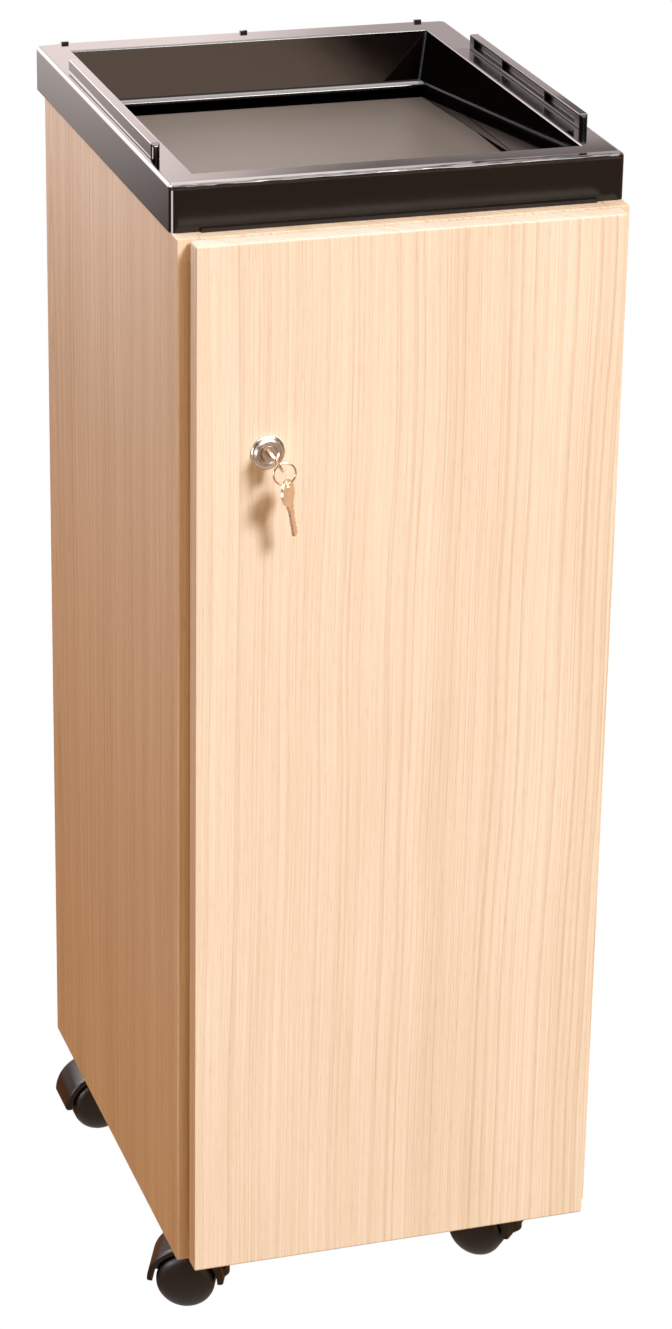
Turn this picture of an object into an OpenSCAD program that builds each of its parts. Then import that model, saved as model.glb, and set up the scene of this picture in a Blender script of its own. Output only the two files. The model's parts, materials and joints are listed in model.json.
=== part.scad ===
// Secure shredding console: a lockable board cabinet on four castors, with a black paper tray on top.
// Millimetres, +Z up. The ground is z = 0 and the origin is under the middle of the overall footprint.
// The door faces -Y. Left and right are as seen by someone who faces the door.

/* [Cabinet] */
// Width of the cabinet across its two side panels
cabinet_w = 358; // [340:1:420]
// Depth of the side panels, without the door
cabinet_d = 415; // [390:1:480]
// Height of the side panels
cabinet_h = 876; // [600:1:1100]
// Thickness of the coated boards
board_t = 18; // [17:0.5:20]
// Thickness of the back panel
back_t = 8; // [5:0.5:8]
// Depth of the grooves that hold the back panel
groove_depth = 7; // [4:0.5:9]
// Depth of the rail across the front of the cabinet's top
top_rail_d = 40; // [36:1:45]

/* [Door] */
// Part of each side panel's front edge that the door leaves bare
door_reveal = 9; // [7:0.5:9]
// Gap between the closed door and the cabinet
door_gap = 3; // [2.6:0.1:4]

/* [Tray] */
// How far the tray stands out beyond each side panel
tray_overhang_side = 1; // [0:0.5:3]
// How far the tray stands out behind the cabinet
tray_overhang_back = 28; // [20:1:29]
// Distance of the tray's front behind the front of the cabinet
tray_setback = 15; // [11:0.5:20]
// Height of the tray's outer skirt
skirt_h = 36.5; // [36:0.5:48]
// Wall thickness of the tray moulding
tray_wall = 3; // [2:0.5:3]
// Radius of the tray's upright outer corners
tray_round = 6; // [4:0.5:8]
// Width of the rim at the two sides
rim_side = 25; // [25:0.5:32]
// Width of the rim at the front
rim_front = 29; // [25:0.5:40]
// Width of the rim at the back
rim_back = 26; // [25:0.5:34]
// Lean of the side walls of the recess, from upright
side_draft = 13; // [13:0.5:16]
// Lean of the front and back walls of the recess, from upright
end_draft = 16.5; // [15:0.5:18]
// Depth of the tray floor below the rim at the front
floor_drop_front = 37; // [30:0.5:42]
// Depth of the tray floor below the rim at the paper slot
floor_drop_back = 51; // [48:0.5:58]
// Thickness of the tray floor
floor_t = 3; // [2:0.5:4]
// Width of the ledge that carries the tray floor
floor_ledge_w = 6; // [5:0.5:10]
// Width of the ledge that shows beside the front half of the floor's right edge
floor_trim = 5.7; // [0:0.1:5.8]
// Height of the paper slot above the tray floor
slot_h = 6; // [5:0.5:10]
// Distance of the tray floor's back edge from the back wall
slot_drop_w = 13; // [9:0.5:20]
// Height of the lip above the paper slot
lip_h = 5; // [3:0.2:8]
// Distance that the lip stands forward of the back wall
lip_reach = 11; // [6:0.5:16]

/* [Side rails] */
// Length of each rail on the tray's rim
rail_l = 262; // [200:1:300]
// Height of each rail above the rim
rail_h = 12.5; // [9:0.5:20]
// Width of each rail
rail_w = 7; // [6:0.5:10]
// Wall thickness of the rails
rail_wall = 2.5; // [1.5:0.1:3]
// Distance of the rails from the tray's outer side
rail_inset = 4.5; // [4:0.5:8]
// Distance of the rails' front ends behind the tray's front
rail_front = 70; // [50:1:90]

/* [Lock and keys] */
// Distance of the lock's centre from the door's free edge
lock_from_edge = 56; // [45:0.5:60]
// Distance of the lock's centre below the door's top
lock_from_top = 165; // [120:1:240]
// Diameter of the lock's flange
flange_d = 26.5; // [26:0.5:32]
// Diameter of the lock's barrel
barrel_d = 19; // [17:0.5:20]
// Diameter of the turning plug
plug_d = 12.5; // [11:0.5:13]
// Thickness of the cam
cam_t = 2.5; // [2:0.1:3]
// Diameter of the keys' bows
bow_d = 21; // [20:0.5:24]
// Length of the keys' blades
blade_l = 20; // [17:0.5:21]
// Thickness of the keys
key_t = 2; // [1.6:0.1:2.4]
// Mean radius of the key ring
ring_r = 8.7; // [8.5:0.1:12]
// Diameter of the key ring's wire
ring_wire_d = 1.5; // [1.2:0.1:1.8]

/* [Hinges] */
// Distance of each hinge from the door's top and bottom
hinge_from_end = 100; // [70:1:140]
// Diameter of the hinge cups
cup_d = 35; // [35:0.5:36]
// Depth of the hinge cups in the door
cup_depth = 14; // [13.9:0.1:14.2]
// Diameter of the hinge pins
hinge_pin_d = 2.6; // [2:0.1:2.6]

/* [Castors] */
// Diameter of the castor wheels
wheel_d = 50; // [46:1:54]
// Width of one castor wheel
wheel_w = 20; // [16:0.5:22]
// Overall height of a castor under the cabinet
castor_h = 72.5; // [66:0.5:80]
// Distance from a castor's swivel axis to its axle
castor_trail = 24.5; // [20:0.5:26]
// Distance of the swivel axes in from the cabinet's outer faces
castor_inset = 48; // [46:0.5:70]
// Thickness of the castor plates
plate_t = 3; // [2.5:0.1:4]
// Side of the square castor plates
plate_side = 42; // [40:0.5:48]

/* [Collection bin] */
// Room between the bin and each side panel
bin_side_gap = 21; // [17:1:50]
// Room between the bin and the cabinet's front edge
bin_front_gap = 36; // [28:1:80]
// Room between the top of the bin and the lowest edge of the tray
bin_top_gap = 60; // [40:1:300]
// Wall thickness of the bin
bin_wall = 3; // [2:0.5:4]

/* [Hidden] */
$fn = 64;
// A close fit on a radius, a loose fit, and a cut that passes a face
close_fit = 0.05;
loose_fit = 0.3;
over = 1;

// Cabinet, from the ground up
carcass_z = castor_h;
carcass_top = carcass_z + cabinet_h;
bottom_z = carcass_z + board_t;
bottom_mid_z = carcass_z + board_t / 2;
rail_mid_z = carcass_top - board_t / 2;
side_x = cabinet_w / 2;
inner_x = side_x - board_t;

// The keys stand out furthest in front, and the footprint's middle lies between them and the tray's back
lock_flange_h = 5;
key_shoulder = 5;
bow_r = bow_d / 2;
bow_hole_at = bow_r - 4.5;
key_stick_out = lock_flange_h + key_shoulder + bow_r + bow_hole_at + bow_r;
overall_d = key_stick_out + board_t + door_gap + cabinet_d + tray_overhang_back;
tray_back = overall_d / 2;
carcass_back = tray_back - tray_overhang_back;
carcass_front = carcass_back - cabinet_d;
tray_front = carcass_front + tray_setback;
door_back = carcass_front - door_gap;
door_front = door_back - board_t;
back_front = carcass_back - back_t;
back_play = 0.5;

// Board connectors: a cam in the shelf, a bolt from the side, and a plain dowel beside it
cam_disc_d = 15;
cam_disc_h = 13;
cam_from_side = 24;
bolt_shank_d = 5;
bolt_d = 7;
bolt_in_side = 11;
dowel_d = 8;
dowel_l = 30;
dowel_in_side = 10;
shelf_cam_shift = 70;
shelf_dowel_shift = 105;
rail_cam_from_back = 12;
rail_dowel_from_front = 9;
bottom_cam_y = [for (s = [-1, 1]) (carcass_front + carcass_back) / 2 + s * shelf_cam_shift];
bottom_dowel_y = [for (s = [-1, 1]) (carcass_front + carcass_back) / 2 + s * shelf_dowel_shift];
rail_cam_y = [carcass_front + top_rail_d - rail_cam_from_back];
rail_dowel_y = [carcass_front + rail_dowel_from_front];

// Back panel screws into the bottom panel's back edge
back_screw_d = 3.5;
back_screw_l = 30;
back_screw_from_side = 40;
back_screw_x = [-inner_x + back_screw_from_side, 0, inner_x - back_screw_from_side];

// Door
door_w = cabinet_w - 2 * door_reveal;
door_left = -door_w / 2;
door_right = door_w / 2;
bumper_d = 8;
bumper_x = door_left + (board_t - door_reveal) / 2;
bumper_from_end = 16;

// Hinges: one fixed pivot in each cup, a cranked arm from the side panel into the cup
hinge_z = [carcass_z + hinge_from_end, carcass_top - hinge_from_end];
pivot_from_edge = 7.5;
pivot_depth = 10.5;
cup_from_edge = 3;
pivot_x = door_right - pivot_from_edge;
pivot_y = door_back - pivot_depth;
cup_x = door_right - cup_from_edge - cup_d / 2;
cup_wall = 0.8;
cup_flange_t = 1.2;
cup_ear_z = 24;
cup_ear_r = 6.5;
cup_room_z = 8.5;
cup_screw_d = 3.5;
cup_screw_l = 12;
pin_half_l = 9.9;
eye_r = hinge_pin_d / 2 + 1.1;
arm_t = 2.4;
arm_half_z = 5.5;
crank_l = 14.5;
elbow_x = pivot_x - crank_l;
arm_body_from_front = 10;
arm_body_l = 46;
arm_body_start = carcass_front + arm_body_from_front;
arm_body_end = arm_body_start + arm_body_l;
hinge_plate_t = 3;
hinge_plate_x = inner_x - hinge_plate_t;
hinge_plate_half_z = 24;
hinge_screw_from_front = 36;
hinge_screw_y = carcass_front + hinge_screw_from_front;
hinge_screw_z = 16;
hinge_screw_d = 4;
hinge_screw_l = 14;

// Lock
lock_x = door_left + lock_from_edge;
lock_z = carcass_top - lock_from_top;
flange_face = door_front - lock_flange_h;
flange_base_h = 2.2;
face_ring_d = 21.5;
plug_face = flange_face + 0.5;
cam_front = carcass_front + 4.8;
nut_across = 24;
nut_t = 4;
plug_square = 7;
plug_end = cam_front + cam_t + 0.2;
cam_w = 14;
cam_reach = lock_x + inner_x - 8;
cam_screw_d = 9;
cam_screw_h = 2.6;
cam_thread_d = 4;
cam_thread_l = 8;

// Strike: an angle plate on the left side panel, and the cam turns in behind it
strike_t = 2;
strike_front = carcass_front + 1.5;
strike_reach = 15;
strike_l = 28;
strike_half_z = 20;
strike_screw_z = 12;
strike_screw_y = strike_front + 18;
strike_screw_d = 3.5;
strike_screw_l = 13;

// Keys: one in the lock, and a spare that hangs from its bow on the ring
blade_w = 6.6;
bow_hole_r = 2.5;
bow_y = flange_face - key_shoulder - bow_r;
hole_y = bow_y - bow_hole_at;
wire_gap = 0.1;
wire_seat = bow_hole_r - ring_wire_d / 2 - wire_gap;
// The spare key has turned about its own length, so the wire passes its hole at a slant, lower in it
spare_turn = -40;
spare_seat = 0.8;
ring_lean = -58;
spare_lean = -80;
keyway_tilt = 90 + ring_lean;
ring_x = lock_x + (wire_seat + ring_r) * cos(ring_lean);
ring_z = lock_z + (wire_seat + ring_r) * sin(ring_lean);
spare_x = ring_x + (ring_r + spare_seat) * cos(spare_lean);
spare_z = ring_z + (ring_r + spare_seat) * sin(spare_lean);

// Tray recess: its walls lean in, so their places are worked out from the depth below the rim
rim_z = carcass_top + skirt_h;
tray_w = cabinet_w + 2 * tray_overhang_side;
tray_d = tray_back - tray_front;
recess_x = tray_w / 2 - rim_side;
recess_front = tray_front + rim_front;
recess_back = tray_back - rim_back;
side_lean = tan(side_draft);
end_lean = tan(end_draft);
floor_back = recess_back - end_lean * floor_drop_back - slot_drop_w;
floor_front = recess_front + end_lean * floor_drop_front;
floor_slope = (floor_drop_back - floor_drop_front) / (floor_back - floor_front);
ledge_t = 2.5;
ledge_x = recess_x - side_lean * floor_drop_back - floor_ledge_w;
recess_depth = floor_drop_back + floor_t + ledge_t;
trim_back_y = tray_front + 0.58 * tray_d;
trim_front_y = tray_front + 0.35 * tray_d;
trim_back_x = recess_x - side_lean * (floor_drop_front + floor_slope * (trim_back_y - floor_front));
trim_front_x = recess_x - floor_trim
    - side_lean * (floor_drop_front + floor_slope * (trim_front_y - floor_front));
lip_z = rim_z - floor_drop_back + slot_h;
lip_front = recess_back - end_lean * (rim_z - lip_z) - lip_reach;
bead_from_end = 23;
bead_w = tray_w - 2 * bead_from_end;
bead_t = 3;
nib_x = [-155, 0, 155];
nib_w = 6;
nib_h = 2;

// The back panel ends below the skirt, where the recess's back wall passes in front of it
back_top = rim_z - floor_drop_back;

// Corner blocks that fix the tray to the side panels, and bosses in the tray above them
boss_d = 9;
block_w = 11;
block_l = 24;
block_h = 16;
boss_x = inner_x - block_w / 2;
block_from_rail = 16;
block_from_back = 45;
block_y = [carcass_front + top_rail_d + block_from_rail, back_front - block_from_back];
block_screw_d = 3.5;
boss_screw_l = 22;
wall_screw_l = 20;
wall_screw_drop = 5;
wall_screw_z = carcass_top - wall_screw_drop;
wall_screw_shift = 7;

// Rails
rail_y = tray_front + rail_front + rail_l / 2;
rail_outer_x = tray_w / 2 - rail_inset;
rail_mid_x = rail_outer_x - rail_w / 2;
rib_y = 0.19 * rail_l;
end_post_l = 13;
rail_round = 4;
rail_end_round = 3.2;
peg_d = 4;
peg_l = 4.5;
peg_y = rail_l / 2 - end_post_l / 2;
// From each end post to the next rib, between the ribs, and on to the other end post
rail_pockets = [
    [-rail_l / 2 + end_post_l, -rib_y - rail_wall / 2],
    [-rib_y + rail_wall / 2, rib_y - rail_wall / 2],
    [rib_y + rail_wall / 2, rail_l / 2 - end_post_l]];

// Castors: front left, back left, front right, back right
castor_names = ["castor_front_left", "castor_back_left", "castor_front_right", "castor_back_right"];
castor_x = side_x - castor_inset;
castor_front_y = carcass_front + castor_inset;
castor_back_y = carcass_back - castor_inset;
castor_at = [
    [-castor_x, castor_front_y], [-castor_x, castor_back_y],
    [castor_x, castor_front_y], [castor_x, castor_back_y]];
castor_turn = [157, 180, 137, 19];
wheel_r = wheel_d / 2;
wheel_room_r = wheel_r + 2.4;
hood_r = wheel_room_r + 5.1;
hood_round = 2.8;
web_t = 7;
web_gap = 0.5;
hood_w = web_t + 2 * web_gap + 2 * wheel_w - 4;
boss_r = 11;
plate_z = castor_h - plate_t;
swivel_gap = 0.3;
kingpin_d = 8;
kingpin_bottom = wheel_r + sqrt(pow(wheel_room_r, 2) - pow(castor_trail - 2, 2)) + 1;
kingpin_head_d = 12;
kingpin_head_h = 1.4;
axle_d = 6;
axle_play = 0.4;
hub_r = 7;
wheel_face = wheel_w - 2.5;
axle_l = web_t + 2 * (web_gap + wheel_face - axle_play);
castor_screw_d = 4;
castor_screw_l = 15;
castor_head_d = 8;
castor_head_h = 2.2;
castor_hole = plate_side / 2 - 5.5;

// Bin
bin_w = 2 * (inner_x - bin_side_gap);
bin_back = back_front - 1;
bin_front = carcass_front + bin_front_gap;
bin_d = bin_back - bin_front;
bin_h = rim_z - recess_depth - bin_top_gap - bottom_z;
bin_round = 18;
bin_rim_h = 14;
bin_rim_w = 3.5;
grip_w = 90;
grip_h = 26;
grip_drop = 55;

// ---- Helpers ----

// A cylinder that starts at the point and runs to +X
module bar_x(x, y, z, d, l) {
    translate([x, y, z]) rotate([0, 90, 0]) cylinder(d = d, h = l);
}

// A cylinder that starts at the point and runs to +Y
module bar_y(x, y, z, d, l) {
    translate([x, y, z]) rotate([-90, 0, 0]) cylinder(d = d, h = l);
}

// A cylinder that starts at the point and runs to +Z
module bar_z(x, y, z, d, l) {
    translate([x, y, z]) cylinder(d = d, h = l);
}

// A box from its lowest corner to its highest corner
module box(low, high) {
    translate(low) cube(high - low);
}

// A flat shape drawn in X and Z, extruded along Y
module prism_y(y0, y1) {
    translate([0, y1, 0]) rotate([90, 0, 0]) linear_extrude(y1 - y0) children();
}

// A flat shape drawn in Y and Z, extruded along X to both sides of the middle
module prism_x(half) {
    translate([-half, 0, 0]) rotate([90, 0, 90]) linear_extrude(2 * half) children();
}

// A rectangle with round corners
module round_rect(w, l, r) {
    square([w - 2 * r, l], center = true);
    square([w, l - 2 * r], center = true);
    for (x = [-1, 1], y = [-1, 1]) translate([x * (w / 2 - r), y * (l / 2 - r)]) circle(r);
}

// A countersunk screw down -Z, with the top of its head at the origin
module sunk_screw(d, l) {
    translate([0, 0, -d / 2]) cylinder(d1 = d, d2 = 2 * d, h = d / 2);
    translate([0, 0, -l]) cylinder(d = d, h = l - d / 2);
}

// The hole for that screw
module sunk_hole(d, l) {
    wide = 2 * d + 2 * close_fit;
    translate([0, 0, -d / 2 - close_fit]) cylinder(d1 = d, d2 = wide, h = d / 2 + close_fit);
    cylinder(d = wide, h = over);
    translate([0, 0, -l - close_fit]) cylinder(d = d + 2 * close_fit, h = l);
}

// Draws the same thing at the right and at the left
module both_sides() {
    children();
    mirror([1, 0, 0]) children();
}

// ---- Where the screws sit: each module puts its children at one kind of screw ----

module at_back_screws() {
    for (x = back_screw_x) translate([x, carcass_back, bottom_mid_z]) rotate([-90, 0, 0]) children();
}

module at_boss_screws() {
    both_sides() for (y = block_y)
        translate([boss_x, y, carcass_top - block_h]) rotate([180, 0, 0]) children();
}

module at_wall_screws() {
    both_sides() for (y = block_y) translate([inner_x - block_w, y + wall_screw_shift, wall_screw_z])
        rotate([0, -90, 0]) children();
}

module at_cup_screws() {
    for (z = hinge_z, s = [-1, 1]) translate([cup_x, door_back + cup_flange_t, z + s * cup_ear_z])
        rotate([-90, 0, 0]) children();
}

module at_plate_screws() {
    for (z = hinge_z, s = [-1, 1]) translate([hinge_plate_x, hinge_screw_y, z + s * hinge_screw_z])
        rotate([0, -90, 0]) children();
}

module at_strike_screws() {
    for (s = [-1, 1]) translate([-inner_x + strike_t, strike_screw_y, lock_z + s * strike_screw_z])
        rotate([0, 90, 0]) children();
}

module at_castor_screws() {
    for (c = castor_at, x = [-1, 1], y = [-1, 1])
        translate([c[0] + x * castor_hole, c[1] + y * castor_hole, plate_z]) children();
}

// ---- Cabinet boards ----

module side_board() {
    box([inner_x, carcass_front, carcass_z], [side_x, carcass_back, carcass_top]);
}

// Connector holes in the right side panel's inner face, and its groove for the back panel
module side_holes() {
    for (y = bottom_cam_y) side_hole(y, bottom_mid_z, bolt_shank_d, bolt_in_side);
    for (y = rail_cam_y) side_hole(y, rail_mid_z, bolt_shank_d, bolt_in_side);
    for (y = bottom_dowel_y) side_hole(y, bottom_mid_z, dowel_d, dowel_in_side);
    for (y = rail_dowel_y) side_hole(y, rail_mid_z, dowel_d, dowel_in_side);
    box([inner_x - over, back_front - close_fit, carcass_z - over],
        [inner_x + groove_depth, carcass_back + over, carcass_top + over]);
}

module side_hole(y, z, d, deep) {
    bar_x(inner_x - over, y, z, d + 2 * close_fit, deep + over);
}

module left_side_panel() {
    color("tan") difference() {
        mirror([1, 0, 0]) side_board();
        mirror([1, 0, 0]) side_holes();
        at_wall_screws() sunk_hole(block_screw_d, wall_screw_l);
        at_strike_screws() sunk_hole(strike_screw_d, strike_screw_l);
    }
}

module right_side_panel() {
    color("tan") difference() {
        side_board();
        side_holes();
        at_wall_screws() sunk_hole(block_screw_d, wall_screw_l);
        at_plate_screws() sunk_hole(hinge_screw_d, hinge_screw_l);
    }
}

// Cam, bolt and dowel holes in the right end of a shelf
module shelf_holes(cams_y, dowels_y, mid_z) {
    cam_x = inner_x - cam_from_side;
    for (y = cams_y) {
        bar_z(cam_x, y, mid_z - board_t / 2 - over,
              cam_disc_d + 2 * close_fit, cam_disc_h + over + close_fit);
        bar_x(cam_x, y, mid_z, bolt_d + 2 * close_fit, cam_from_side + over);
    }
    for (y = dowels_y) bar_x(inner_x + dowel_in_side - dowel_l, y, mid_z, dowel_d + 2 * close_fit, dowel_l);
}

module bottom_panel() {
    color("tan") difference() {
        box([-inner_x, carcass_front, carcass_z], [inner_x, back_front, bottom_z]);
        both_sides() shelf_holes(bottom_cam_y, bottom_dowel_y, bottom_mid_z);
        at_castor_screws() cylinder(d = castor_screw_d + 2 * close_fit, h = castor_screw_l + close_fit);
        at_back_screws() sunk_hole(back_screw_d, back_screw_l);
    }
}

module back_panel() {
    half = inner_x + groove_depth - back_play;
    color("tan") difference() {
        box([-half, back_front, carcass_z], [half, carcass_back, back_top]);
        at_back_screws() sunk_hole(back_screw_d, back_screw_l);
    }
}

module top_rail() {
    color("tan") difference() {
        box([-inner_x, carcass_front, carcass_top - board_t],
            [inner_x, carcass_front + top_rail_d, carcass_top]);
        both_sides() shelf_holes(rail_cam_y, rail_dowel_y, rail_mid_z);
    }
}

// A cam with its bolt channel, and the cross recess that turns it from below
module connector_cam(y, mid_z) {
    cam_x = inner_x - cam_from_side;
    cam_z = mid_z - board_t / 2;
    difference() {
        bar_z(cam_x, y, cam_z, cam_disc_d, cam_disc_h);
        bar_x(cam_x - 2, y, mid_z, bolt_d + 1, cam_from_side);
        for (a = [0, 90]) translate([cam_x, y, cam_z]) rotate(a) cube([7, 1.4, 3], center = true);
    }
}

// A bolt whose ball sits in the cam and whose thread is in the side panel
module connector_bolt(y, mid_z) {
    start = inner_x - cam_from_side;
    bar_x(start + 1, y, mid_z, bolt_d, 4);
    bar_x(start + 4, y, mid_z, bolt_shank_d, cam_from_side + bolt_in_side - 4 - loose_fit);
    bar_x(inner_x - 3, y, mid_z, bolt_d, 3);
}

module connector_cams() {
    color("silver") both_sides() {
        for (y = bottom_cam_y) connector_cam(y, bottom_mid_z);
        for (y = rail_cam_y) connector_cam(y, rail_mid_z);
    }
}

module connector_bolts() {
    color("silver") both_sides() {
        for (y = bottom_cam_y) connector_bolt(y, bottom_mid_z);
        for (y = rail_cam_y) connector_bolt(y, rail_mid_z);
    }
}

module board_dowels() {
    start = inner_x + dowel_in_side - dowel_l + loose_fit;
    color("burlywood") both_sides() {
        for (y = bottom_dowel_y) bar_x(start, y, bottom_mid_z, dowel_d, dowel_l - 2 * loose_fit);
        for (y = rail_dowel_y) bar_x(start, y, rail_mid_z, dowel_d, dowel_l - 2 * loose_fit);
    }
}

module back_screws() {
    color("silver") at_back_screws() sunk_screw(back_screw_d, back_screw_l);
}

// ---- Tray ----

// The recess as a solid whose walls lean in. The first number moves all of its walls outwards.
module recess(grow, depth) {
    front_top = recess_front - grow - end_lean * over;
    back_top_y = recess_back + grow + end_lean * over;
    side_top = recess_x + grow + side_lean * over;
    front_low = recess_front - grow + end_lean * depth;
    back_low = recess_back + grow - end_lean * depth;
    side_low = recess_x + grow - side_lean * depth;
    intersection() {
        prism_x(tray_w) polygon([[front_top, rim_z + over], [back_top_y, rim_z + over],
                                 [back_low, rim_z - depth], [front_low, rim_z - depth]]);
        prism_y(tray_front, tray_back) polygon([[-side_top, rim_z + over], [side_top, rim_z + over],
                                                [side_low, rim_z - depth], [-side_low, rim_z - depth]]);
    }
}

// Height of the tray floor's upper face
function floor_z(y) = rim_z - floor_drop_front - floor_slope * (y - floor_front);

// A slab parallel to the tray floor, between two depths below the floor's upper face
module floor_slab(y0, y1, top, bottom) {
    prism_x(tray_w) polygon([[y0, floor_z(y0) - top], [y1, floor_z(y1) - top],
                             [y1, floor_z(y1) - bottom], [y0, floor_z(y0) - bottom]]);
}

// The flat rim with the skirt that hangs from it
module tray_rim() {
    difference() {
        translate([0, (tray_front + tray_back) / 2, carcass_top]) linear_extrude(skirt_h)
            round_rect(tray_w, tray_d, tray_round);
        translate([0, (tray_front + tray_back) / 2, carcass_top - over])
            linear_extrude(skirt_h - tray_wall + over)
            round_rect(tray_w - 2 * tray_wall, tray_d - 2 * tray_wall, 1);
        recess(tray_wall / 2, recess_depth);
    }
}

// The four leaning walls: three of them end at the ledge, and the back one is the deepest
module tray_walls() {
    difference() {
        intersection() {
            recess(tray_wall, recess_depth);
            box([-tray_w, tray_front, rim_z - recess_depth], [tray_w, tray_back, rim_z]);
        }
        recess(0, recess_depth + over);
        floor_slab(tray_front, floor_back, floor_t + ledge_t, recess_depth);
    }
}

// The ledge under three edges of the tray floor
module floor_ledge() {
    difference() {
        intersection() {
            recess(tray_wall / 2, recess_depth);
            floor_slab(tray_front, floor_back, floor_t, floor_t + ledge_t);
        }
        box([-ledge_x, floor_front + floor_ledge_w, carcass_z], [ledge_x, tray_back, rim_z]);
    }
}

// The lip above the paper slot, with a round front edge
module slot_lip() {
    intersection() {
        recess(tray_wall / 2, recess_depth);
        prism_x(tray_w) {
            translate([lip_front + lip_h / 2, lip_z]) square([lip_reach + rim_back, lip_h]);
            translate([lip_front + lip_h / 2, lip_z + lip_h / 2]) circle(d = lip_h);
        }
    }
}

// Bosses for the screws that come up through the corner blocks, kept out of the recess
module tray_bosses() {
    difference() {
        both_sides() for (y = block_y) bar_z(boss_x, y, carcass_top, boss_d, skirt_h - tray_wall / 2);
        recess(tray_wall / 2, recess_depth);
    }
}

module tray_cap() {
    color("#2b2422") difference() {
        union() {
            tray_rim();
            tray_walls();
            floor_ledge();
            slot_lip();
            tray_bosses();
            // Bead along the foot of the skirt's front, and three nibs on the back of the rim
            box([-bead_w / 2, tray_front - bead_t, carcass_top],
                [bead_w / 2, tray_front + over, carcass_top + bead_t]);
            for (x = nib_x) box([x - nib_w / 2, tray_back - tray_wall, rim_z - over],
                                [x + nib_w / 2, tray_back, rim_z + nib_h]);
        }
        at_boss_screws() sunk_hole(block_screw_d, boss_screw_l);
        both_sides() for (s = [-1, 1])
            bar_z(rail_mid_x, rail_y + s * peg_y, carcass_top + over, peg_d + 2 * close_fit, skirt_h);
    }
}

// The floor's right edge leaves the wall a little towards the front
module tray_floor() {
    color("#7d746b") difference() {
        intersection() {
            recess(-loose_fit, recess_depth);
            floor_slab(tray_front, floor_back, 0, floor_t);
        }
        translate([0, 0, rim_z - recess_depth]) linear_extrude(recess_depth)
            polygon([[recess_x, trim_back_y], [trim_back_x, trim_back_y], [trim_front_x, trim_front_y],
                     [trim_front_x, tray_front], [recess_x, tray_front]]);
    }
}

// ---- Rails on the tray's rim ----

// A ribbed channel that is open towards the recess, with a peg under each end post
module rail() {
    inner = rail_outer_x - rail_w;
    difference() {
        intersection() {
            translate([inner, rail_y, rim_z + rail_h / 2 - rail_round]) rotate([90, 0, 90])
                linear_extrude(rail_w) round_rect(rail_l, rail_h + 2 * rail_round, rail_round);
            translate([rail_mid_x, rail_y, rim_z]) linear_extrude(rail_h)
                round_rect(rail_w, rail_l, rail_end_round);
        }
        for (span = rail_pockets)
            box([inner - over, rail_y + span[0], rim_z + rail_wall],
                [rail_outer_x - rail_wall, rail_y + span[1], rim_z + rail_h - rail_wall]);
    }
    for (s = [-1, 1]) bar_z(rail_mid_x, rail_y + s * peg_y, rim_z - peg_l, peg_d, peg_l + rail_wall);
}

module left_rail() {
    color("#3a3230") mirror([1, 0, 0]) rail();
}

module right_rail() {
    color("#3a3230") rail();
}

// ---- Corner blocks ----

module tray_blocks() {
    color("#2b2422") difference() {
        both_sides() for (y = block_y) box([inner_x - block_w, y - block_l / 2, carcass_top - block_h],
                                           [inner_x, y + block_l / 2, carcass_top]);
        at_boss_screws() sunk_hole(block_screw_d, boss_screw_l);
        at_wall_screws() sunk_hole(block_screw_d, wall_screw_l);
    }
}

module tray_block_screws() {
    color("silver") {
        at_boss_screws() sunk_screw(block_screw_d, boss_screw_l);
        at_wall_screws() sunk_screw(block_screw_d, wall_screw_l);
    }
}

// ---- Bin ----

module collection_bin() {
    body_w = bin_w - 2 * bin_rim_w;
    body_d = bin_d - 2 * bin_rim_w;
    color("#4a4d50") translate([0, (bin_front + bin_back) / 2, bottom_z]) difference() {
        union() {
            linear_extrude(bin_h) round_rect(body_w, body_d, bin_round);
            translate([0, 0, bin_h - bin_rim_h]) linear_extrude(bin_rim_h)
                round_rect(bin_w, bin_d, bin_round + bin_rim_w);
        }
        translate([0, 0, bin_wall]) linear_extrude(bin_h)
            round_rect(body_w - 2 * bin_wall, body_d - 2 * bin_wall, bin_round - bin_wall);
        // A hand hole in the front and in the back
        translate([0, 0, bin_h - grip_drop]) rotate([90, 0, 0]) linear_extrude(2 * bin_d, center = true)
            round_rect(grip_w, grip_h, grip_h / 2 - 1);
    }
}

// ---- Door ----

module door() {
    color("wheat") difference() {
        box([door_left, door_front, carcass_z], [door_right, door_back, carcass_top]);
        bar_y(lock_x, door_front - over, lock_z, barrel_d + 2 * close_fit, board_t + 2 * over);
        for (z = hinge_z)
            bar_y(cup_x, door_back - cup_depth - close_fit, z, cup_d + 2 * close_fit, cup_depth + over);
        at_cup_screws() sunk_hole(cup_screw_d, cup_screw_l);
    }
}

module door_bumpers() {
    color("gainsboro") for (z = [carcass_z + bumper_from_end, carcass_top - bumper_from_end])
        bar_y(bumper_x, door_back, z, bumper_d, door_gap - loose_fit);
}

// ---- Hinges ----

// The cup, its flange with two ears, and flat cheeks inside that hold the pin
module hinge_cup(z) {
    difference() {
        union() {
            bar_y(cup_x, door_back - cup_depth, z, cup_d, cup_depth + cup_flange_t);
            translate([cup_x, door_back + cup_flange_t, z]) rotate([90, 0, 0]) linear_extrude(cup_flange_t) {
                square([2 * cup_ear_r, 2 * cup_ear_z], center = true);
                for (s = [-1, 1]) translate([0, s * cup_ear_z]) circle(cup_ear_r);
            }
        }
        intersection() {
            bar_y(cup_x, door_back - cup_depth + cup_wall, z, cup_d - 2 * cup_wall, cup_depth + cup_flange_t);
            box([cup_x - cup_d, door_front, z - cup_room_z], [cup_x + cup_d, carcass_front, z + cup_room_z]);
        }
        bar_z(pivot_x, pivot_y, z - pin_half_l - close_fit, hinge_pin_d + 2 * close_fit,
              2 * (pin_half_l + close_fit));
    }
}

module hinge_cups() {
    color("silver") difference() {
        for (z = hinge_z) hinge_cup(z);
        at_cup_screws() sunk_hole(cup_screw_d, cup_screw_l);
    }
}

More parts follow.
